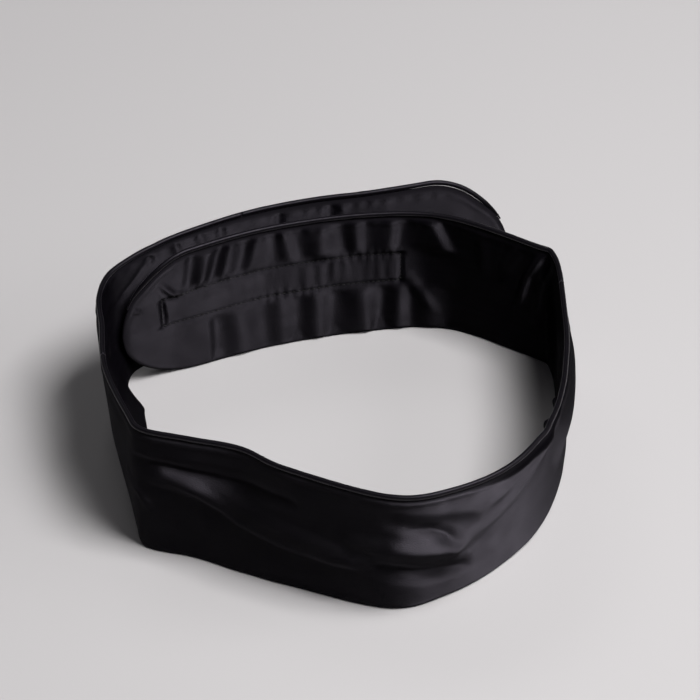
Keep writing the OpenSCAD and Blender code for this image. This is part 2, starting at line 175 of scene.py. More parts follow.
# Nap: scatter of the loops, points of an arc, greatest lean, seed of the leans, sweep of the arcs, bristles in metres
NAP_SCATTER, NAP_POINTS, NAP_LEAN, NAP_SEED = 0.5, 9, 0.15, 5
LOOP_SWEEP, HOOK_SWEEP, LOOP_BRISTLE, HOOK_BRISTLE = math.radians(360), math.radians(250), 0.00014, 0.0002
# Length over which a surface's directions are taken
SURFACE_PROBE = 0.3
# Satin: scale of its flat map, of the weave, the slubs and the clouds, the weave's relief, and the sewn edges
UV_SCALE, WEAVE_SCALE, SLUB_SCALE, CLOUD_SCALE = 0.01, (130.0, 320.0, 1.0), (6.0, 40.0, 1.0), 9.0
WEAVE_STRENGTH, WEAVE_DEPTH, EDGE_ROUGHNESS, EDGE_PALER = 0.45, 0.00014, 0.95, 2.2
# Ranges of noise, or of the distance from an edge, and what they are carried to
WEAVE_SHADE, FIBRE_SHADE = ((0.1, 0.45), (0.55, 1.5)), ((0.7, 1.3), (0.6, 1.35))
EDGE_RUB, EDGE_TURN = ((0.0, 2.0), (0.35, 0.0)), ((0.6, 1.8), (1.0, 0.0))
CLOUD_RANGE, CLOUD_ROUGHNESS = (0.3, 0.7), (-0.04, 0.05)


def smooth(t):
    """Eased step from zero to one."""
    t = np.clip(t, 0, 1)
    return t * t * (3 - 2 * t)


def within(x, low, high, ease):
    """One between two ends, falling to zero over an ease inside each."""
    return smooth((x - low) / ease) * smooth((high - x) / ease)


def hump(x, shape):
    """A round rise, from its height, place and half width."""
    height, place, width = shape
    return height * np.exp(-((x - place) / width) ** 2)


def uneven(s, wave, start=0.0, shift=0.0):
    """A wave along the band whose crests wander from even spacing."""
    period, wander, slow = wave
    return np.sin(2 * math.pi * (s - start) / period + wander * np.sin(s / slow + shift))


def varied(turn, share):
    """A slow change of height by a share."""
    return 1 - share + share * np.sin(turn)


def unit(vectors):
    return vectors / np.linalg.norm(vectors, axis=-1, keepdims=True)


class Band:
    """The band's middle surface: places along it, heights, and the way outwards, in millimetres."""

    def __init__(self):
        corners = OUTLINE.copy()
        corners[:, 0] *= LOOP_WIDTH / np.ptp(OUTLINE[:, 0])
        corners[:, 1] *= LOOP_DEPTH / np.ptp(OUTLINE[:, 1])
        t = (np.arange(CURVE_STEPS) / CURVE_STEPS)[:, None]
        points = []
        for i in range(len(corners)):
            a, b, c, d = (corners[(i + k) % len(corners)] for k in (-1, 0, 1, 2))
            points.append(0.5 * (2 * b + (c - a) * t + (2 * a - 5 * b + 4 * c - d) * t ** 2
                                 + (3 * b - a - 3 * c + d) * t ** 3))
        self.points = np.concatenate([*points, corners[:1]])
        steps = np.linalg.norm(np.diff(self.points[:, :2], axis=0), axis=1)
        self.run = np.concatenate([[0], np.cumsum(steps)])
        self.length = self.run[-1]
        self.right_fold = self.run[round(RIGHT_FOLD_AT * CURVE_STEPS)]
        self.back_fold = self.run[round(BACK_FOLD_AT * CURVE_STEPS)] - self.length
        self.left_fold = self.run[round(LEFT_FOLD_AT * CURVE_STEPS)] - self.length
        self.tab_fold = HOOK_TAPE[0] - HALF_GAP
        self.free_from = FREE_LEN - OVER_LEN
        self.under_end = UNDER_LEN - self.length

    def spot(self, s):
        """Points of the plan at places s."""
        k = np.mod(s, self.length)
        return np.stack([np.interp(k, self.run, self.points[:, i]) for i in (0, 1)], -1)

    def along(self, s):
        """Way along the band; the tab runs on straight."""
        s = np.maximum(s, self.free_from)
        return unit(self.spot(s + PROBE) - self.spot(s - PROBE))

    def path(self, s):
        """Points of the plan, with the straight tab."""
        beyond = np.minimum(s - self.free_from, 0)
        return self.spot(np.maximum(s, self.free_from)) + self.along(s) * beyond[..., None]

    def middle(self, s, u):
        """Distance of the padded band's middle outwards from its plan."""
        lean = np.interp(np.mod(np.maximum(s, self.free_from), self.length), self.run, self.points[:, 2])
        out = lean * (u / BAND_H - 0.5)
        for s0, u0, s1, u1, width, depth in CREASES:
            out = out + depth * (1 - smooth(line_distance(s, u, ((s0, u0), (s1, u1)))[0] / width))
        lap = (TIP_LAP * smooth((self.left_fold - s) / (self.left_fold - self.under_end))
               + (LAP - TIP_LAP) * smooth((self.under_end - s) / TAPE_INSET))
        flare = (FLARE * smooth((self.under_end - s) / (self.under_end - self.free_from))
                 + TAB_FLARE * smooth((self.free_from - s) / FREE_LEN))
        flare = flare * (np.maximum(0, u - TAPE_HIGH) / (BAND_H - TAPE_HIGH)) ** 2
        tuck = TUCK * smooth((self.left_fold - s) / TUCK_GROW) * smooth((s - self.under_end + TUCK_PAST) / TUCK_FADE)
        tuck = tuck * np.maximum(0, 1 - u / TUCK_H) ** TUCK_POWER
        return out + np.where(s < self.left_fold, lap + flare - tuck, 0)

    def place(self, s, u, w):
        """Points in metres at places s, heights u and distances w outwards from the middle."""
        s, u, w = np.broadcast_arrays(np.asarray(s, float), np.asarray(u, float), np.asarray(w, float))
        d = self.along(s)
        xy = self.path(s) + np.stack([d[..., 1], -d[..., 0]], -1) * (self.middle(s, u) + w)[..., None]
        z = u + STRAP_LIFT * smooth((self.left_fold - s) / (self.left_fold - self.under_end))
        return (np.concatenate([xy, z[..., None]], -1) - BOX_CENTRE) * MM


def line_distance(s, u, line):
    """Distance from a line of points in the flat band, share of the way along it, and whether to its left."""
    best, share, left = np.full(np.shape(s), 1e9), np.zeros(np.shape(s)), np.zeros(np.shape(s), bool)
    legs = len(line) - 1
    for k in range(legs):
        (s0, u0), (s1, u1) = line[k], line[k + 1]
        ds, du = s1 - s0, u1 - u0
        t = np.clip(((s - s0) * ds + (u - u0) * du) / (ds * ds + du * du), 0, 1)
        d = np.hypot(s - s0 - ds * t, u - u0 - du * t)
        near = d < best
        best, share = np.where(near, d, best), np.where(near, (k + t) / legs, share)
        left = np.where(near, ds * (u - u0) > du * (s - s0), left)
    return best, share, left


band = Band()
# Stretches of the band, each across one fold: ends, the end that is round, bodies, and where the bend starts and ends
STRETCHES = {
    "brow_and_side": dict(ends=(SPLIT_SIDE, SPLIT_RIGHT), tip=None, bodies=("mask", "side"),
                          zone=(band.left_fold + FOLD_REACH, band.left_fold - FOLD_REACH)),
    "side_and_strap": dict(ends=(SPLIT_STRAP, SPLIT_SIDE), tip=None, bodies=("side", "strap"),
                           zone=(band.back_fold + FOLD_REACH, band.back_fold - FOLD_REACH)),
    "strap_and_tab": dict(ends=(-OVER_LEN, SPLIT_STRAP), tip=0, bodies=("strap", "tab"),
                          zone=(band.tab_fold, band.tab_fold - TAB_REACH)),
    "under_strap": dict(ends=(SPLIT_RIGHT, UNDER_LEN), tip=1, bodies=("mask", "under"),
                        zone=(band.right_fold - FOLD_REACH, band.right_fold + FOLD_REACH)),
}


def bead_share(angle):
    """Size of the piping round a strap's end, as a share of its full size."""
    share = 1 - (1 - RUN_OFF_SHARE) * smooth((angle - RUN_OFF[0]) / (RUN_OFF[1] - RUN_OFF[0]))
    return np.where(angle > RUN_OFF[1], RUN_OFF_SHARE * smooth((90 - angle) / (90 - RUN_OFF[1])), share)


def straight_places(stretch, step):
    """Places along a stretch, up to the round end of its strap."""
    first, last = stretch["ends"]
    ends = first + (END_R if stretch["tip"] == 0 else 0), last - (END_R if stretch["tip"] == 1 else 0)
    return np.linspace(*ends, math.ceil((ends[1] - ends[0]) / step) + 1)


def tip_places(stretch, x):
    """Places along the band at distances x into a strap's round end."""
    first, last = stretch["ends"]
    return last - END_R + x if stretch["tip"] == 1 else first + END_R - x


def with_tip(stretch, straight, tip):
    """Values along a strap's straight part and round its end, in order along the band."""
    return np.append(straight, tip) if stretch["tip"] == 1 else np.concatenate([tip[::-1], straight])


def stations(stretch, step):
    """Cross sections of a stretch: places, lower edges and upper edges."""
    s = straight_places(stretch, step)
    low, high = np.zeros_like(s), np.full_like(s, PANEL_H)
    if stretch["tip"] is None:
        return s, low, high
    angle = np.linspace(0, LAST_ANGLE, int(END_R * TIP_TURN / step))[1:]
    reach = END_R - bead_share(angle) * PIPING_D - PLY_GAP
    x = reach * np.sin(np.radians(angle))
    return (with_tip(stretch, s, tip_places(stretch, x)),
            with_tip(stretch, low, END_R - np.sqrt(END_R ** 2 - x ** 2)),
            with_tip(stretch, high, END_R + reach * np.cos(np.radians(angle))))


def levels(step):
    """Heights of the rows across the band as shares of its height, closer together at the two edges."""
    last = EDGE_ROWS[-1]
    middle = np.linspace(last, PANEL_H - last, int((PANEL_H - 2 * last) / step) + 1)
    return np.concatenate([EDGE_ROWS[:-1], middle, PANEL_H - EDGE_ROWS[-2::-1]]) / PANEL_H


def rim_distance(stretch, s, u):
    """Distance in the flat band to its nearest sewn edge, and the piping's share of its size there."""
    d, share = np.maximum(np.minimum(u, PANEL_H - u), 0), np.where(u > END_R, 1.0, 0.0)
    if stretch["tip"] is None:
        return d, share
    x = s - (UNDER_LEN - END_R) if stretch["tip"] == 1 else (END_R - OVER_LEN) - s
    size = bead_share(np.degrees(np.arctan2(np.maximum(x, 0), np.maximum(u - END_R, 1e-6))))
    reach = END_R - np.where(u > END_R, size * PIPING_D + PLY_GAP, 0)
    return np.where(x > 0, np.maximum(reach - np.hypot(x, u - END_R), 0), d), np.where(x > 0, share * size, share)


def half_thickness(d, sizes):
    """Half the padded band's thickness at a distance from its edge: a rolled edge, then a slow rise."""
    rolled, full = sizes.edge_thickness / MM / 2, sizes.padded_thickness / MM / 2
    roll = np.sqrt(1 - (1 - np.minimum(d / sizes.edge_roll * MM, 1)) ** 2)
    return PLY_GAP + (rolled - PLY_GAP) * roll + (full - rolled) * smooth(d / PAD_RISE)


def seam(d, share):
    """Groove under the piping and the ridge of the seam allowance below it."""
    return share * (hump(d, SEAM_RIDGE) + hump(d, SEAM_GROOVE))


def folded(s, u, folds):
    """Height of the cloth's folds over its smooth padded form."""
    out = np.zeros(np.shape(s))
    for line, width, height in folds:
        d, t, left = line_distance(s, u, line)
        near = 1 - np.minimum(d / np.where(left, *np.broadcast_to(width, 2)), 1)
        shape = smooth(near) if height > 0 else near ** VALLEY_POWER
        out += height * shape * (FOLD_END + (1 - FOLD_END) * smooth(np.minimum(t, 1 - t) / FOLD_TAPER))
    return out


def waves(s, u, lines):
    """Height of folds that run side by side, from their crests and troughs."""
    first, second, places = lines
    share = np.clip((u - first) / (second - first), 0, 1)
    spots = [(low + (high - low) * share, height) for low, high, height in places]
    out = np.zeros(np.shape(s))
    for (start, low), (end, high) in zip(spots, spots[1:]):
        t = (s - start) / (end - start)
        out = np.where((t >= 0) & (t < 1), low + (high - low) * smooth(t), out)
    return out


def gathers(s, u, rows, ends):
    """Small upright folds of the cloth between two rows of stitches."""
    inside = smooth((s - ends[0]) / GATHER_GROW) * smooth((ends[1] - GATHER_SHORT - s) / GATHER_FADE)
    between = within(u, rows[0] + GATHER_CLEAR, rows[1] - GATHER_CLEAR, GATHER_EASE)
    height = GATHER * varied(s / GATHER_SLOW[0] + u / GATHER_SLOW[1], GATHER_VARY)
    return height * uneven(s, GATHER_WAVE) * inside * between


def scallops(s, u, ends):
    """Puffs of a full lining along the seam, one after another."""
    wave = np.maximum(uneven(s, SCALLOP_WAVE, start=ends[0]), 0) ** SCALLOP_POWER
    return wave * hump(PANEL_H - u, SCALLOP) * within(s, *ends, SCALLOP_EASE)


def ripple(s, u, seed):
    """Slow waves of a sewn cloth, from a few fixed waves of unlike lengths."""
    rng = np.random.default_rng(seed)
    out = np.zeros(np.shape(s))
    for length in RIPPLE_LENGTHS:
        turn, start = rng.uniform(-RIPPLE_TURN, RIPPLE_TURN), rng.uniform(0, 2 * math.pi)
        way = s * math.cos(turn) + u * math.sin(turn)
        out += length / RIPPLE_LENGTHS[0] * np.sin(2 * math.pi * way / length + start)
    return out / RIPPLE_SUM


def puckers(s, u, rows, ends):
    """Dip of the cloth along the stitch rows of a tape, with the small puckers that pull at them."""
    out = np.zeros(np.shape(s))
    for row in rows:
        off = np.abs(u - row)
        wave = uneven(s, PUCKER_WAVE, shift=row) * varied(s / PUCKER_SLOW + row, PUCKER_VARY)
        out += hump(off, DIP) + wave * hump(off, PUCKER)
    for end in ends:
        out += hump(s - end, DIP) * within(u, rows[0] - CORNER_EASE, rows[1] + CORNER_EASE, CORNER_EASE)
    return out * within(s, ends[0] - DIP_EASE, ends[1] + DIP_EASE, DIP_EASE)


def cloth_height(stretch_name, side, s, u, sizes):
    """Height of the cloth's wrinkles outwards from the padded form, on the face (1) or the lining (-1)."""
    d = rim_distance(STRETCHES[stretch_name], s, u)[0]
    out = RIPPLE * ripple(s, u, RIPPLE_SEEDS[side])
    out += uneven(s, EDGE_WAVE) * hump(PANEL_H - u, EDGE_PUCKER[side])
    if side < 0:
        out += folded(s, u, UNDER_LINING_FOLDS + STRAP_LINING_FOLDS + SIDE_LINING_FOLDS)
        out += scallops(s, u, BROW_SCALLOPS)
        if stretch_name == "under_strap":
            out += waves(s, u, WAVES_OVER) * smooth((u - STITCH_ROWS[1]) / WAVE_EASE)
            out += waves(s, u, WAVES_UNDER) * smooth((STITCH_ROWS[0] - u) / WAVE_EASE)
            out += gathers(s, u, STITCH_ROWS, LOOP_ROWS) + puckers(s, u, STITCH_ROWS, LOOP_ROWS)
    else:
        out += folded(s, u, BROW_FACE_FOLDS)
        if stretch_name in ("side_and_strap", "strap_and_tab"):
            out += puckers(s, u, STITCH_ROWS, HOOK_ROWS)
    return sizes.fold_depth * out * smooth(d / SEWN_EASE)


def cloth_surface(stretch_name, side, s, u, sizes, under=0.0):
    """Points of a face or lining; under is the depth below its outer side."""
    d, share = rim_distance(STRETCHES[stretch_name], s, u)
    form = half_thickness(d, sizes)
    w = form + seam(d, share) + cloth_height(stretch_name, side, s, u, sizes)
    w = np.maximum(w, np.minimum(form, sizes.ply / MM + LEAST_PADDING))
    return band.place(s, u, side * np.maximum(w - under, PLY_GAP / 2 if under else 0))


# Meshes

def shell(outer, inner, side=1):
    """Points and quads of a closed sheet between an outer and an inner grid, on the face (1) or the lining (-1)."""
    index = np.arange(outer[..., 0].size).reshape(outer.shape[:2])
    quads = np.stack([index[:-1, :-1], index[1:, :-1], index[1:, 1:], index[:-1, 1:]], -1).reshape(-1, 4)
    loop = np.concatenate([index[:, 0], index[-1, 1:], index[-2::-1, -1], index[0, -2:0:-1]])
    ahead = np.roll(loop, -1)
    rim = np.stack([loop, loop + index.size, ahead + index.size, ahead], -1)
    faces = np.concatenate([quads, quads[:, ::-1] + index.size, rim])
    return np.concatenate([outer.reshape(-1, 3), inner.reshape(-1, 3)]), faces[:, ::side].tolist()


def linked(name, data):
    """A new object in the scene."""
    made = bpy.data.objects.new(name, data)
    bpy.context.scene.collection.objects.link(made)
    return made


def mesh_object(name, points, faces, flat=None, rim=None, normals=None):
    """A new object from points and faces, with the cloth's own flat places as its UV map."""
    mesh = bpy.data.meshes.new(name)
    mesh.from_pydata(points.tolist(), [], faces)
    if flat is not None:
        corner = np.zeros(len(mesh.loops), np.int32)
        mesh.loops.foreach_get("vertex_index", corner)
        mesh.uv_layers.new(name="Cloth").data.foreach_set("uv", (flat[corner] * UV_SCALE).astype(np.float32).ravel())
    if rim is not None:
        mesh.attributes.new("rim", "FLOAT", "POINT").data.foreach_set("value", rim.astype(np.float32))
    mesh.polygons.foreach_set("use_smooth", np.ones(len(mesh.polygons), bool))
    if normals is not None:
        mesh.normals_split_custom_set_from_vertices(normals.tolist())
    mesh.update()
    if mesh.validate(clean_customdata=False):
        raise RuntimeError(f"{name} has faces that can't be")
    return linked(name, mesh)


def cloth_piece(stretch_name, side, name, sizes):
    """One face or lining panel of a stretch, with its thickness and its rolled edges, and its flat area."""
    stretch = STRETCHES[stretch_name]
    s, low, high = stations(stretch, sizes.grid / MM)
    q = levels(sizes.grid / MM)
    # One more column beyond each plain end makes the neighbours' normals meet
    pad = (0 if stretch["tip"] == 0 else 1, 0 if stretch["tip"] == 1 else 1)
    s = np.pad(s, pad, mode="reflect", reflect_type="odd")
    low, high = (np.pad(edge, pad, mode="edge") for edge in (low, high))
    ply = sizes.ply / MM
    big_s = np.repeat(s[:, None], len(q), 1)
    tall = (high - low)[:, None]
    shrink = np.minimum(ply, tall / 4)
    u, u_in = low[:, None] + tall * q, low[:, None] + shrink + (tall - 2 * shrink) * q
    outer = cloth_surface(stretch_name, side, big_s, u, sizes)
    inner = cloth_surface(stretch_name, side, big_s, u_in, sizes, under=ply)
    normals = side * np.cross(np.gradient(outer, axis=0), np.gradient(outer, axis=1))
    normals /= np.maximum(np.linalg.norm(normals, axis=-1, keepdims=True), 1e-12)
    keep = slice(pad[0], len(s) - pad[1])
    outer, inner, normals, u, u_in, big_s = (a[keep] for a in (outer, inner, normals, u, u_in, big_s))
    flat = np.concatenate([np.stack([big_s, up], -1).reshape(-1, 2) for up in (u, u_in)])
    rim = np.tile(rim_distance(stretch, big_s, u)[0].ravel(), 2)
    both = np.concatenate([normals.reshape(-1, 3), -normals.reshape(-1, 3)])
    area = float(np.sum((high - low)[keep][1:] * np.abs(np.diff(s[keep])))) * MM * MM
    return mesh_object(name, *shell(outer, inner, side), flat, rim, both), area


def tube(name, centre, side_way, up_way, radii, inner_radii=None):
    """A round tube along a line of points, solid where it has no inner size."""
    turn = np.linspace(0, 2 * math.pi, TUBE_SIDES, endpoint=False)
    ring = side_way[:, None] * np.cos(turn)[None, :, None] + up_way[:, None] * np.sin(turn)[None, :, None]
    outer = (centre[:, None] + radii[:, None, None] * ring).reshape(-1, 3)
    n = len(outer)
    index = np.arange(n).reshape(-1, TUBE_SIDES)
    ahead = np.roll(index, -1, axis=1)
    quads = np.stack([index[:-1], ahead[:-1], ahead[1:], index[1:]], -1).reshape(-1, 4)
    run = np.concatenate([[0], np.cumsum(np.linalg.norm(np.diff(centre, axis=0), axis=1))]) / MM
    flat = np.stack([np.repeat(run, TUBE_SIDES), np.tile(turn * PIPING_D / 2, len(centre))], -1)
    if inner_radii is None:
        points = np.concatenate([outer, centre[[0, -1]]])
        flat = np.concatenate([flat, [[run[0], 0], [run[-1], 0]]])
        parts = (quads, np.stack([index[0], np.full(TUBE_SIDES, n), ahead[0]], -1),
                 np.stack([index[-1], ahead[-1], np.full(TUBE_SIDES, n + 1)], -1))
    else:
        points = np.concatenate([outer, (centre[:, None] + inner_radii[:, None, None] * ring).reshape(-1, 3)])
        flat = np.tile(flat, (2, 1))
        parts = (quads, quads[:, ::-1] + n, np.stack([index[0], index[0] + n, ahead[0] + n, ahead[0]], -1),
                 np.stack([index[-1], ahead[-1], ahead[-1] + n, index[-1] + n], -1))
    return mesh_object(name, points, [face for part in parts for face in part.tolist()], flat, np.zeros(len(points)))


def piping_line(stretch, step):
    """Places, heights and size shares of the piping's middle line along a stretch."""
    s = straight_places(stretch, step)
    u, share = np.full_like(s, BAND_H - PIPING_D / 2), np.ones_like(s)
    if stretch["tip"] is None:
        return s, u, share
    angle = np.linspace(0, RUN_OFF[1], int(END_R * math.radians(RUN_OFF[1]) / step) + 1)[1:]
    size = bead_share(angle)
    reach = END_R - size * PIPING_D / 2
    return (with_tip(stretch, s, tip_places(stretch, reach * np.sin(np.radians(angle)))),
            with_tip(stretch, u, END_R + reach * np.cos(np.radians(angle))), with_tip(stretch, share, size))


def piping_piece(stretch, name, radius, inner_radius, step):
    """The piping's cover, or the cord in it, along a stretch."""
    s, u, share = piping_line(stretch, step)
    centre = band.place(s, u, 0)
    way = unit(np.gradient(centre, axis=0))
    d = band.along(s)
    out = np.concatenate([d[:, 1:], -d[:, :1], np.zeros((len(s), 1))], -1)
    side = unit(out - way * np.sum(out * way, -1, keepdims=True))
    swell = 1 + SWELL * np.sin(s / SWELL_LENGTH + SWELL_WANDER * np.sin(s / SWELL_SLOW))
    return tube(name, centre, side, np.cross(way, side), radius * MM * share * swell,
                None if inner_radius is None else inner_radius * MM * share)


# Materials

def feed(tree, target, values):
    """Links or sets a node's inputs."""
    for key, value in values.items():
        if getattr(value, "is_output", False):
            tree.links.new(value, target.inputs[key])
        else:
            target.inputs[key].default_value = value


def node(tree, kind, values=None, **settings):
    """A new node with its settings and inputs."""
    made = tree.nodes.new(kind)
    for key, value in settings.items():
        setattr(made, key, value)
    feed(tree, made, values or {})
    return made


def noise(tree, vector, scale, detail, roughness=0.5, dimensions="3D"):
    return node(tree, "ShaderNodeTexNoise", {"Vector": vector, "Scale": scale, "Detail": detail,
                                             "Roughness": roughness}, noise_dimensions=dimensions).outputs["Fac"]


def remap(tree, value, came, goes):
    """A value carried from one range to another."""
    return node(tree, "ShaderNodeMapRange", {"Value": value, "From Min": came[0], "From Max": came[1],
                                             "To Min": goes[0], "To Max": goes[1]}).outputs["Result"]


def maths(tree, operation, first, second):
    return node(tree, "ShaderNodeMath", {0: first, 1: second}, operation=operation).outputs[0]


def mixed(tree, factor, first, second, kind="RGBA", blend="MIX"):
    return node(tree, "ShaderNodeMix", {"Factor": factor, "A": first, "B": second},
                data_type=kind, blend_type=blend).outputs["Result"]


def stretched(tree, vector, scale):
    return node(tree, "ShaderNodeMapping", {"Vector": vector, "Scale": scale}).outputs["Vector"]


def new_material(name):
    material = bpy.data.materials.new(name)
    material.use_nodes = True
    tree = material.node_tree
    tree.nodes.clear()
    shader = tree.nodes.new("ShaderNodeBsdfPrincipled")
    tree.links.new(shader.outputs["BSDF"], tree.nodes.new("ShaderNodeOutputMaterial").inputs["Surface"])
    return material, tree, shader


def satin_material(name, finishes, colour, slope, roughness, specular, sheen, slant=0.0, long_threads=True):
    """Woven satin: long floating threads along the band, uneven sheen, and edges a little rubbed."""
    material, tree, shader = new_material(name)
    flat = node(tree, "ShaderNodeUVMap", uv_map="Cloth").outputs["UV"]
    weave = noise(tree, stretched(tree, flat, WEAVE_SCALE), 1.0, 2.0, 0.6, "2D")
    streak = noise(tree, stretched(tree, flat, SLUB_SCALE), 1.0, 3.0, dimensions="2D")
    cloud = noise(tree, flat, CLOUD_SCALE, 2.0, dimensions="2D")
    rim = node(tree, "ShaderNodeAttribute", attribute_name="rim").outputs["Fac"]
    shade = remap(tree, maths(tree, "MULTIPLY", weave, streak), *WEAVE_SHADE)
    tone = mixed(tree, 1.0, (*colour[:3], 1.0), shade, blend="MULTIPLY")
    rubbed = mixed(tree, remap(tree, rim, *EDGE_RUB), tone, (*(EDGE_PALER * c for c in colour[:3]), 1.0))
    rough = remap(tree, cloud, CLOUD_RANGE, [roughness + change for change in CLOUD_ROUGHNESS])
    dull = mixed(tree, remap(tree, rim, *EDGE_TURN), rough,
                 EDGE_ROUGHNESS if long_threads else roughness, kind="FLOAT")
    # The upper sides of the round threads show more than their lower sides
    height = node(tree, "ShaderNodeSeparateXYZ", {"Vector": flat}).outputs["Y"]
    upper = node(tree, "ShaderNodeBump", {"Strength": 1.0, "Distance": MM,
                                          "Height": maths(tree, "MULTIPLY", height, -slope / UV_SCALE)})
    bump = node(tree, "ShaderNodeBump", {"Strength": WEAVE_STRENGTH, "Distance": WEAVE_DEPTH, "Height": weave,
                                         "Normal": upper.outputs["Normal"]})
    tangent = node(tree, "ShaderNodeTangent", direction_type="UV_MAP", uv_map="Cloth")
    feed(tree, shader, {
        "Base Color": rubbed, "Roughness": dull, "Normal": bump.outputs["Normal"],
        "Tangent": tangent.outputs["Tangent"], "Anisotropic": finishes.anisotropy if long_threads else 0.0,
        "Anisotropic Rotation": 0.25 + slant / (2 * math.pi), "Specular IOR Level": specular,
        "Specular Tint": finishes.tint, "Sheen Weight": sheen, "Sheen Roughness": 0.3, "Sheen Tint": finishes.tint})
    return material


def fibre_material(name, colour, scale, roughness, depth, sheen):
    """Matt fibres: wadding, cord, tape and thread."""
    material, tree, shader = new_material(name)
    place = node(tree, "ShaderNodeTexCoord").outputs["Object"]
    fuzz, cloud = noise(tree, place, scale, 4.0, 0.65), noise(tree, place, scale / 12, 2.0)
    shade = remap(tree, maths(tree, "ADD", fuzz, cloud), *FIBRE_SHADE)
    bump = node(tree, "ShaderNodeBump", {"Strength": 0.6, "Distance": depth, "Height": fuzz})
    feed(tree, shader, {
        "Base Color": mixed(tree, 1.0, (*colour[:3], 1.0), shade, blend="MULTIPLY"),
        "Normal": bump.outputs["Normal"], "Roughness": roughness, "Sheen Weight": sheen, "Sheen Roughness": 0.5})
    return material


def finish_named(name):
    """The named finish, made the first time it is asked for."""
    if name in bpy.data.materials and bpy.data.materials[name].get("blindfold"):
        return bpy.data.materials[name]
    finishes = bpy.context.scene.blindfold_finishes
    slope = finishes.thread_slope
    # Colour, slope of the threads, roughness, gloss, sheen, slant of the threads, whether they are long
    satins = {
        "satin_face": (finishes.satin, slope, 0.5, finishes.face_specular, 0.09, finishes.face_slant),
        "satin_lining": (finishes.lining, slope, 0.42, finishes.specular, 0.1),
        "satin_piping": (finishes.satin, 0.0, 0.38, finishes.piping_specular, 0.16, 0.0, False)}
    # Colour, scale of the fibres, roughness, depth of their relief, sheen
    fibres = {
        "wadding": (finishes.padding, 900.0, 0.95, 0.0006, 0.25),
        "twisted_cord": (finishes.cord, 1500.0, 0.8, 0.0003, 0.2),
        "woven_tape": (finishes.tape, 2200.0, 0.8, 0.0002, 0.03),
        "thread": (finishes.thread, 4000.0, 0.6, 0.0001, 0.02)}
    made = satin_material(name, finishes, *satins[name]) if name in satins else fibre_material(name, *fibres[name])
    made["blindfold"] = True
    return made


def finished(piece, material):
    piece.data.materials.clear()
    piece.data.materials.append(finish_named(material))
    return piece


def sewn(piece, stretch, part, material):
    """Finishes a piece, hides the solids of its stretch's two bodies that it stands in for, and bakes its place into
    its points.
    """
    finished(piece, material)
    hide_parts(*(f"{body}_{part}" for body in stretch["bodies"]))
    start, end = (band.place(np.array(s), np.array(BAND_H / 2), 0.0) for s in stretch["zone"])
    start[2] = end[2] = BAND_H / 2 * MM
    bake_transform(piece)


# Stitches, hooks and loops

def node_group(name, sizes, finish):
    """An empty geometry node group, with its entry and its exit; sizes and a finish go in."""
    tree = bpy.data.node_groups.new(name, "GeometryNodeTree")
    sockets = [("Geometry", "Geometry"), *((size, "Float") for size in sizes), (finish, "Material")]
    for label, kind in sockets:
        tree.interface.new_socket(label, in_out="INPUT", socket_type="NodeSocket" + kind)
    tree.interface.new_socket("Geometry", in_out="OUTPUT", socket_type="NodeSocketGeometry")
    return tree, tree.nodes.new("NodeGroupInput"), tree.nodes.new("NodeGroupOutput")


def on_points(tree, entry, mesh, scale=(1.0, 1.0, 1.0)):
    """Instances on the points, with X along the cloth and Z out of it, from the points' own attributes."""
    along, out = (node(tree, "GeometryNodeInputNamedAttribute", {"Name": label}, data_type="FLOAT_VECTOR")
                  for label in ("along", "out"))
    first = node(tree, "FunctionNodeAlignRotationToVector", {"Vector": out.outputs["Attribute"]}, axis="Z")
    turn = node(tree, "FunctionNodeAlignRotationToVector", {
        "Rotation": first.outputs["Rotation"], "Vector": along.outputs["Attribute"]}, axis="X", pivot_axis="Z")
    return node(tree, "GeometryNodeInstanceOnPoints", {
        "Points": entry.outputs["Geometry"], "Instance": mesh.outputs["Mesh"], "Rotation": turn.outputs["Rotation"],
        "Scale": scale}).outputs["Instances"]


def close_group(tree, leave, instances, material):
    """Makes the instances real, smooth and painted, and sends them out of the group."""
    real = node(tree, "GeometryNodeRealizeInstances", {"Geometry": instances})
    soft = node(tree, "GeometryNodeSetShadeSmooth", {"Geometry": real.outputs["Geometry"]})
    painted = node(tree, "GeometryNodeSetMaterial", {"Geometry": soft.outputs["Geometry"], "Material": material})
    tree.links.new(painted.outputs["Geometry"], leave.inputs["Geometry"])
    return tree


def stitch_group():
    """Short round stitches on points."""
    tree, entry, leave = node_group("Stitches", ("Length", "Width"), "Thread")
    bead = node(tree, "GeometryNodeMeshUVSphere", {"Segments": 6, "Rings": 6, "Radius": 0.5})
    size = node(tree, "ShaderNodeCombineXYZ", {"X": entry.outputs["Length"], "Y": entry.outputs["Width"],
                                               "Z": entry.outputs["Width"]})
    return close_group(tree, leave, on_points(tree, entry, bead, size.outputs["Vector"]), entry.outputs["Thread"])


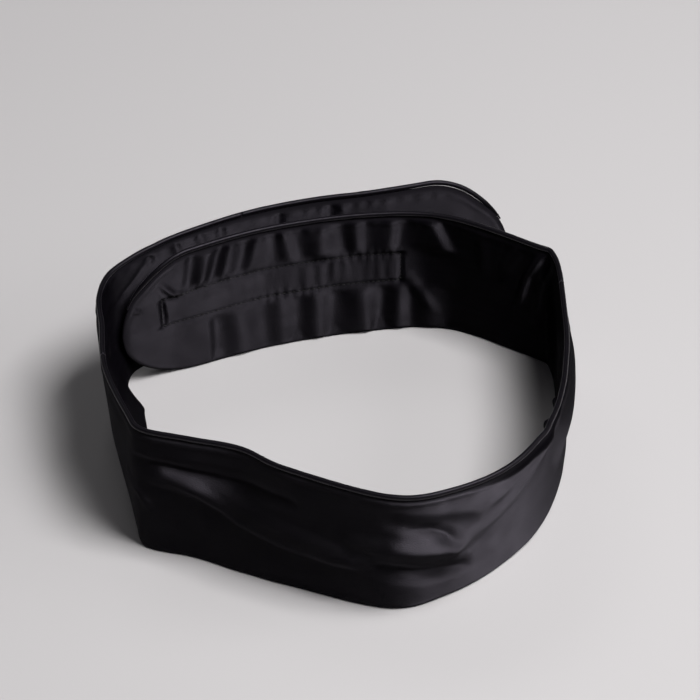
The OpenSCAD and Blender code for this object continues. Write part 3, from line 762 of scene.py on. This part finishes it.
def nap_group(name, sweep):
    """Bent bristles on points: an arc of the given sweep stands on each, hooks open and loops closed."""
    tree, entry, leave = node_group(name, ("Height", "Bristle"), "Tape")
    arc = node(tree, "GeometryNodeCurveArc", {
        "Resolution": NAP_POINTS, "Radius": maths(tree, "MULTIPLY", entry.outputs["Height"], 0.5),
        "Start Angle": math.radians(-90), "Sweep Angle": sweep})
    stand = node(tree, "GeometryNodeTransform", {"Geometry": arc.outputs["Curve"],
                                                 "Rotation": (math.radians(90), 0.0, 0.0)})
    outline = node(tree, "GeometryNodeCurvePrimitiveCircle", {
        "Resolution": 4, "Radius": maths(tree, "MULTIPLY", entry.outputs["Bristle"], 0.5)})
    bristle = node(tree, "GeometryNodeCurveToMesh", {"Curve": stand.outputs["Geometry"],
                                                     "Profile Curve": outline.outputs["Curve"], "Fill Caps": True})
    spin = node(tree, "FunctionNodeRandomValue", {
        "Min": (-NAP_LEAN, -NAP_LEAN, 0.0), "Max": (NAP_LEAN, NAP_LEAN, 2 * math.pi), "Seed": NAP_SEED},
        data_type="FLOAT_VECTOR")
    turned = node(tree, "GeometryNodeRotateInstances", {"Instances": on_points(tree, entry, bristle),
                                                        "Rotation": spin.outputs["Value"], "Local Space": True})
    return close_group(tree, leave, turned.outputs["Instances"], entry.outputs["Tape"])


def grown(name, points, along, out, tree, values):
    """A plain mesh of the tree's instances on the points."""
    mesh = bpy.data.meshes.new(name)
    mesh.from_pydata(points.tolist(), [], [])
    for label, way in (("along", along), ("out", out)):
        mesh.attributes.new(label, "FLOAT_VECTOR", "POINT").data.foreach_set("vector", way.astype(np.float32).ravel())
    seed = linked(name + "_points", mesh)
    modifier = seed.modifiers.new("Grow", "NODES")
    modifier.node_group = tree
    for item in tree.interface.items_tree:
        if item.item_type == "SOCKET" and item.in_out == "INPUT" and item.name in values:
            modifier[item.identifier] = values[item.name]
    bpy.context.view_layer.update()
    real = bpy.data.meshes.new_from_object(seed.evaluated_get(bpy.context.evaluated_depsgraph_get()))
    real.name = name
    bpy.data.objects.remove(seed)
    if not real.polygons:
        raise RuntimeError(f"{name} came out empty")
    return linked(name, real)


def surface_frame(at, s, u, side):
    """Points of a surface function with the ways along the band and out of it."""
    along = at(s + SURFACE_PROBE, u) - at(s - SURFACE_PROBE, u)
    up = at(s, u + SURFACE_PROBE) - at(s, u - SURFACE_PROBE)
    return at(s, u), unit(along), unit(np.cross(along, up) * side)


def stitch_places(rows, ends, pitch):
    """Places and heights of a box of stitches, and which run up the band."""
    across, up = (np.linspace(*span, round((span[1] - span[0]) / pitch) + 1)[:-1] + pitch / 2 for span in (ends, rows))
    s = np.concatenate([np.tile(across, 2), np.repeat(ends, len(up))])
    u = np.concatenate([np.repeat(rows, len(across)), np.tile(up, 2)])
    return s, u, np.arange(len(s)) >= 2 * len(across)


def over_padding(sizes, side, s, u, over):
    """Points over the padded band, at a distance from it."""
    return band.place(s, u, side * (sizes.padded_thickness / MM / 2 + over))


def tape_piece(name, ends, side, thickness, sizes):
    """A woven tape lying on the padded band: its base alone."""
    big_s, big_u = np.meshgrid(np.linspace(*ends, int((ends[1] - ends[0]) / TAPE_STEP) + 1),
                               np.linspace(TAPE_LOW, TAPE_HIGH, TAPE_ROWS), indexing="ij")
    outer, inner = (over_padding(sizes, side, big_s, big_u, over) for over in (TAPE_GAP + thickness, TAPE_GAP))
    flat = np.tile(np.stack([big_s, big_u], -1).reshape(-1, 2), (2, 1))
    piece = mesh_object(name, *shell(outer, inner, side), flat)
    piece.data.set_sharp_from_angle(angle=TAPE_SHARP)
    return piece


def nap_places(ends, pitch):
    """Places and heights of the hooks or loops of a tape, in even rows."""
    return (a.ravel() for a in np.meshgrid(np.arange(ends[0] + NAP_START, ends[1] - NAP_END, pitch), np.arange(
        TAPE_LOW + NAP_START, TAPE_HIGH - NAP_END, pitch), indexing="ij"))


def make_tape(sizes, name, ends, side, body, nap, places, sweep, height, bristle):
    """A tape with its nap, on the face (1) or the lining (-1)."""
    base = sizes.tape_base / MM
    points, along, out = surface_frame(lambda s, u: over_padding(sizes, side, s, u, TAPE_GAP + base), *places, side)
    fibres = grown(nap, points, along, out, nap_group(nap, sweep), {
        "Height": height, "Bristle": bristle, "Tape": finish_named("woven_tape")})
    piece = tape_piece(name + "_base", ends, side, base, sizes)
    finished(piece, "woven_tape")
    for part in (fibres, piece):
        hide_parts(name)
        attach(part, body)


def make_panels(sizes, side, part, material):
    """The panels of all stretches, on the face (1) or the lining (-1)."""
    for name, stretch in STRETCHES.items():
        piece, area = cloth_piece(name, side, f"{name}_{part}", sizes)
        sewn(piece, stretch, part, material)


def make_piping(part, radius, inner_radius, step, material):
    """The piping's cover, or its cord, on all stretches."""
    for name, stretch in STRETCHES.items():
        sewn(piping_piece(stretch, f"{name}_{part}", radius, inner_radius, step), stretch, part, material)


# The settings that a user would change

def length_setting(name, description, default):
    return FloatProperty(name=name, description=description, default=default, unit="LENGTH")


def share_setting(name, description, default, **limits):
    return FloatProperty(name=name, description=description, default=default, subtype="FACTOR", **limits)


def colour_setting(name, description, default):
    return FloatVectorProperty(name=name, description=description, default=default, size=len(default), subtype="COLOR")


class BandSizes(bpy.types.PropertyGroup):
    """Sizes of the cloth, the padding and the sewing."""

    ply: length_setting("Cloth", "Thickness of one ply of satin", 0.00035)
    padded_thickness: length_setting("Padded", "Thickness of the padded band at its middle", 0.0032)
    edge_thickness: length_setting("Edge", "Thickness of the rolled edges", 0.0019)
    edge_roll: length_setting("Roll", "Height over which an edge rolls in", 0.0022)
    grid: length_setting("Grid", "Spacing of the cloth's mesh", 0.001)
    fold_depth: share_setting("Folds", "Depth of the folds as a share of the full depth", 1.0, min=0.0, max=1.5)
    stitch_pitch: length_setting("Stitch pitch", "Length of thread to each stitch", 0.0022)
    stitch_length: length_setting("Stitch", "Visible length of a stitch", 0.0017)
    thread_width: length_setting("Thread", "Width of the sewing thread", 0.0006)
    tape_base: length_setting("Tape", "Thickness of a tape's woven base", 0.0005)
    hook_height: length_setting("Hooks", "Height of the hooks", 0.0008)
    pile_height: length_setting("Pile", "Height of the loops", 0.0006)
    nap_pitch: length_setting("Nap pitch", "Spacing of hooks and loops", 0.0015)
    seed: IntProperty(name="Seed", description="Start of the pile's scatter", default=4, min=0)


class Finishes(bpy.types.PropertyGroup):
    """Colours and gloss of the materials."""

    satin: colour_setting("Satin", "Outer satin", (0.0021, 0.0018, 0.0026))
    lining: colour_setting("Lining", "Satin lining", (0.0024, 0.002, 0.003))
    padding: colour_setting("Padding", "Wadding", (0.48, 0.46, 0.43))
    cord: colour_setting("Cord", "Piping cord", (0.68, 0.65, 0.60))
    tape: colour_setting("Tape", "Hook and loop tape", (0.012, 0.012, 0.013))
    thread: colour_setting("Thread", "Sewing thread", (0.0016, 0.0014, 0.002))
    tint: colour_setting("Sheen", "Colour of the satin's sheen and highlights", (0.92, 0.84, 1.0, 1.0))
    anisotropy: share_setting("Anisotropy", "Stretch of the highlights across the threads", 0.96)
    specular: share_setting("Lining gloss", "Strength of the lining's highlights", 0.11)
    thread_slope: FloatProperty(name="Threads", description="Mean upward slope of the threads' visible sides",
                                default=1.4)
    face_specular: share_setting("Face gloss", "Strength of the outer satin's highlights", 0.4)
    face_slant: FloatProperty(name="Face slant", description="Slant of the outer satin's threads to the band's length",
                              default=math.radians(30), subtype="ANGLE")
    piping_specular: share_setting("Piping gloss", "Strength of the piping's highlights", 0.2)


class StageSettings(bpy.types.PropertyGroup):
    """Floor, light and camera."""

    floor: colour_setting("Floor", "Colour of the floor", (0.62, 0.60, 0.605))
    key: FloatProperty(name="Key", description="Power of the main light in watts", default=28.0)
    fill: FloatProperty(name="Fill", description="Power of the low side light in watts", default=12.0)
    back: FloatProperty(name="Back", description="Power of the weak light behind the band in watts", default=4.5)
    ambient: FloatProperty(name="Ambient", description="Strength of the light from all round", default=0.03)
    lens: FloatProperty(name="Lens", description="Focal length in millimetres", default=180.0)


SENSOR_WIDTH, CLIP = 36.0, (0.05, 20.0)
CAMERA_PLACE = (-0.24226, -1.01271, 1.0698)
# The camera's turn round the upright, its tilt below the level, and its roll
CAMERA_TURN, CAMERA_TILT, CAMERA_ROLL = math.radians(-13.5), math.radians(43.9), math.radians(-1.0)
# The lights: name, which is also the setting of its power, place, and size
LIGHTS = (("key", (0.494, -0.444, 1.565), (0.6, 0.6)), ("fill", (1.856, -0.865, 1.434), (1.6, 0.8)),
          ("back", (-0.275, 1.296, 2.12), (1.4, 0.8)))
LIGHT_AIM = Vector((0.0, 0.0, 0.03))
AMBIENT_COLOUR = (0.93, 0.94, 1.0, 1.0)
FLOOR_REACH, FLOOR_DROP = 4.0, 0.0001


class StageOperator(bpy.types.Operator):
    """Makes the pale floor, the soft light and the camera"""

    bl_idname = "blindfold.stage"
    bl_label = "Stage"

    def execute(self, context):
        settings = context.scene.blindfold_stage
        context.scene.view_settings.view_transform = "Standard"
        camera = bpy.data.cameras.new("camera")
        camera.sensor_width, camera.lens = SENSOR_WIDTH, settings.lens
        camera.clip_start, camera.clip_end = CLIP
        eye = linked("camera", camera)
        eye.matrix_world = (Matrix.Translation(CAMERA_PLACE) @ Matrix.Rotation(CAMERA_TURN, 4, "Z")
                            @ Matrix.Rotation(math.pi / 2 - CAMERA_TILT, 4, "X") @ Matrix.Rotation(CAMERA_ROLL, 4, "Z"))
        context.scene.camera = eye
        self.make_floor(settings)
        for name, place, size in LIGHTS:
            lamp = bpy.data.lights.new(name, "AREA")
            lamp.shape, lamp.energy = "RECTANGLE", getattr(settings, name)
            lamp.size, lamp.size_y = size
            holder = linked(name, lamp)
            holder.location = place
            holder.rotation_euler = (LIGHT_AIM - Vector(place)).to_track_quat("-Z", "Y").to_euler()
        self.make_world(context, settings)
        return {"FINISHED"}

    @staticmethod
    def make_floor(settings):
        material, tree, shader = new_material("floor")
        feed(tree, shader, {"Base Color": (*settings.floor, 1.0), "Roughness": 0.9, "Specular IOR Level": 0.1})
        corners = FLOOR_REACH * np.array(((-1, -1, 0), (1, -1, 0), (1, 1, 0), (-1, 1, 0)))
        floor = mesh_object("floor", corners - (0, 0, FLOOR_DROP), [(0, 1, 2, 3)])
        floor.data.materials.append(material)

    @staticmethod
    def make_world(context, settings):
        """Weak light from all round, behind which the camera sees the floor's colour"""
        world = bpy.data.worlds.new("studio")
        world.use_nodes = True
        tree = world.node_tree
        tree.nodes.clear()
        path = node(tree, "ShaderNodeLightPath")
        seen = maths(tree, "MAXIMUM", path.outputs["Is Camera Ray"], path.outputs["Is Transmission Ray"])
        room = node(tree, "ShaderNodeBackground", {"Color": AMBIENT_COLOUR, "Strength": settings.ambient})
        back = node(tree, "ShaderNodeBackground", {"Color": (*settings.floor, 1.0), "Strength": 1.0})
        pick = node(tree, "ShaderNodeMixShader", {0: seen, 1: room.outputs[0], 2: back.outputs[0]})
        tree.links.new(pick.outputs[0], tree.nodes.new("ShaderNodeOutputWorld").inputs["Surface"])
        context.scene.world = world


class PaddingOperator(bpy.types.Operator):
    """Makes the thin wadding between the face and the lining"""

    bl_idname = "blindfold.padding"
    bl_label = "Padding"

    def execute(self, context):
        sizes = context.scene.blindfold_sizes
        for name, stretch in STRETCHES.items():
            s, low, high = stations(stretch, WAD_STEP)
            keep = high - low > WAD_LEAST_H
            s, low, high = s[keep], low[keep], high[keep]
            q = np.linspace(0, 1, WAD_ROWS)
            big_s = np.repeat(s[:, None], len(q), 1)
            u = low[:, None] + WAD_INSET + (high - low - 2 * WAD_INSET)[:, None] * q
            half = half_thickness(rim_distance(stretch, big_s, u)[0], sizes) - sizes.ply / MM - PADDING_EASE
            outer, inner = (band.place(big_s, u, side * np.maximum(half + np.minimum(
                WAD_FOLLOW * cloth_height(name, side, big_s, u, sizes), 0), WAD_LEAST)) for side in (1, -1))
            piece = mesh_object(name + "_padding", *shell(outer, inner))
            sewn(piece, stretch, "padding", "wadding")
        return {"FINISHED"}


class CordOperator(bpy.types.Operator):
    """Makes the cord inside the piping"""

    bl_idname = "blindfold.piping_cord"
    bl_label = "Piping cord"

    def execute(self, context):
        make_piping("piping_cord", CORD_D / 2, None, CORD_STEP, "twisted_cord")
        return {"FINISHED"}


class PipingOperator(bpy.types.Operator):
    """Makes the satin cover of the piping along the top edge"""

    bl_idname = "blindfold.piping"
    bl_label = "Piping"

    def execute(self, context):
        make_piping("piping", PIPING_D / 2, PIPING_D / 2 - COVER_PLY, COVER_STEP, "satin_piping")
        return {"FINISHED"}


class FaceOperator(bpy.types.Operator):
    """Makes the outer satin panels"""

    bl_idname = "blindfold.faces"
    bl_label = "Outer satin"

    def execute(self, context):
        make_panels(context.scene.blindfold_sizes, 1, "face", "satin_face")
        return {"FINISHED"}


class LiningOperator(bpy.types.Operator):
    """Makes the satin lining panels"""

    bl_idname = "blindfold.linings"
    bl_label = "Lining"

    def execute(self, context):
        make_panels(context.scene.blindfold_sizes, -1, "lining", "satin_lining")
        return {"FINISHED"}


class StitchOperator(bpy.types.Operator):
    """Sews round both tapes, with the stitches showing on the cloth behind them"""

    bl_idname = "blindfold.stitching"
    bl_label = "Stitching"

    def execute(self, context):
        sizes = context.scene.blindfold_sizes
        tree = stitch_group()
        values = {"Length": sizes.stitch_length, "Width": sizes.thread_width, "Thread": finish_named("thread")}
        for name, stretch_name, side, ends, body in (
                ("loop_tape_stitching", "under_strap", -1, LOOP_ROWS, "under"),
                ("hook_tape_stitching", "strap_and_tab", 1, HOOK_ROWS, "strap")):
            s, u, upright = stitch_places(STITCH_ROWS, ends, sizes.stitch_pitch / MM)
            points, along, out = surface_frame(
                lambda a, b: cloth_surface(stretch_name, side, a, b, sizes), s, u, side)
            along = np.where(upright[:, None], np.cross(out, along), along)
            piece = grown(name, points, along, out, tree, values)
            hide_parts(name)
            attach(piece, body)
        return {"FINISHED"}


class LoopTapeOperator(bpy.types.Operator):
    """Makes the loop tape on the under strap, with its pile"""

    bl_idname = "blindfold.loop_tape"
    bl_label = "Loop tape"

    def execute(self, context):
        sizes = context.scene.blindfold_sizes
        rng = np.random.default_rng(sizes.seed)
        places = [a + rng.uniform(-NAP_SCATTER, NAP_SCATTER, a.size)
                  for a in nap_places(LOOP_TAPE, sizes.nap_pitch / MM)]
        make_tape(sizes, "loop_tape", LOOP_TAPE, 1, "under", "loop_pile", places, LOOP_SWEEP,
                  sizes.pile_height, LOOP_BRISTLE)
        return {"FINISHED"}


class HookTapeOperator(bpy.types.Operator):
    """Makes the hook tape on the over strap, with its hooks"""

    bl_idname = "blindfold.hook_tape"
    bl_label = "Hook tape"

    def execute(self, context):
        sizes = context.scene.blindfold_sizes
        places = nap_places(HOOK_TAPE, sizes.nap_pitch / MM)
        make_tape(sizes, "hook_tape", HOOK_TAPE, -1, "strap", "hooks", places, HOOK_SWEEP,
                  sizes.hook_height, HOOK_BRISTLE)
        return {"FINISHED"}


STEPS = ("stage", "padding", "piping_cord", "piping", "faces", "linings", "stitching", "loop_tape", "hook_tape")


class BlindfoldPanel(bpy.types.Panel):
    """Lists the sizes, the finishes and the steps"""

    bl_idname = "BLINDFOLD_PT_panel"
    bl_label = "Blindfold"
    bl_space_type = "VIEW_3D"
    bl_region_type = "UI"
    bl_category = "Blindfold"

    def draw(self, context):
        for group in (context.scene.blindfold_sizes, context.scene.blindfold_finishes, context.scene.blindfold_stage):
            column = self.layout.column()
            for key in group.__annotations__:
                column.prop(group, key)
        for step in STEPS:
            self.layout.operator("blindfold." + step)


CLASSES = (BandSizes, Finishes, StageSettings, StageOperator, PaddingOperator, CordOperator, PipingOperator,
           FaceOperator, LiningOperator, StitchOperator, LoopTapeOperator, HookTapeOperator, BlindfoldPanel)


def register():
    for kind in CLASSES:
        bpy.utils.register_class(kind)
    bpy.types.Scene.blindfold_sizes = PointerProperty(type=BandSizes)
    bpy.types.Scene.blindfold_finishes = PointerProperty(type=Finishes)
    bpy.types.Scene.blindfold_stage = PointerProperty(type=StageSettings)


def unregister():
    for name in ("blindfold_stage", "blindfold_finishes", "blindfold_sizes"):
        delattr(bpy.types.Scene, name)
    for kind in reversed(CLASSES):
        bpy.utils.unregister_class(kind)


def main():
    register()
    for step in STEPS:
        getattr(bpy.ops.blindfold, step)()


if __name__ == "__main__":
    main()
